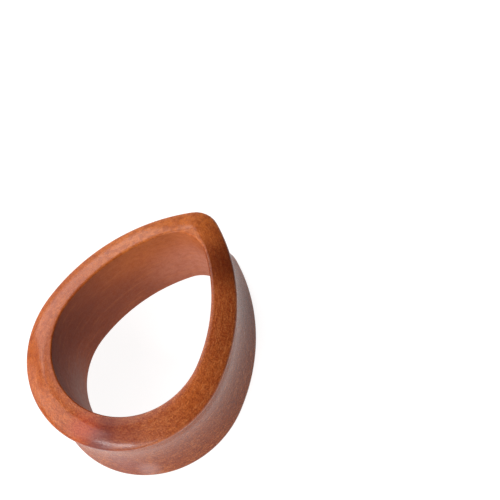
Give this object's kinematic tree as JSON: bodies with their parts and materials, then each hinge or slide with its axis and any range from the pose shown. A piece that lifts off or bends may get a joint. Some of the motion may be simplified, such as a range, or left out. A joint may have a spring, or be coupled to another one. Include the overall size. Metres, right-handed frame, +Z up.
{
  "type": "teardrop ear plug gauge",
  "caption": "Double-flared wooden ear tunnel with a teardrop outline, a waist for the lobe and an open teardrop hole.",
  "frame": {"origin": "middle of the footprint's box, on the surface that the back flare rests on", "axes": "+Z up along the hole, from the back face to the front face; +Y towards the tip of the drop"},
  "size_m": [0.0214, 0.0274, 0.012],
  "materials": {
    "wood": "satin"
  },
  "bodies": {
    "root": {"tunnel": "wood"}
  },
  "joints": []
}
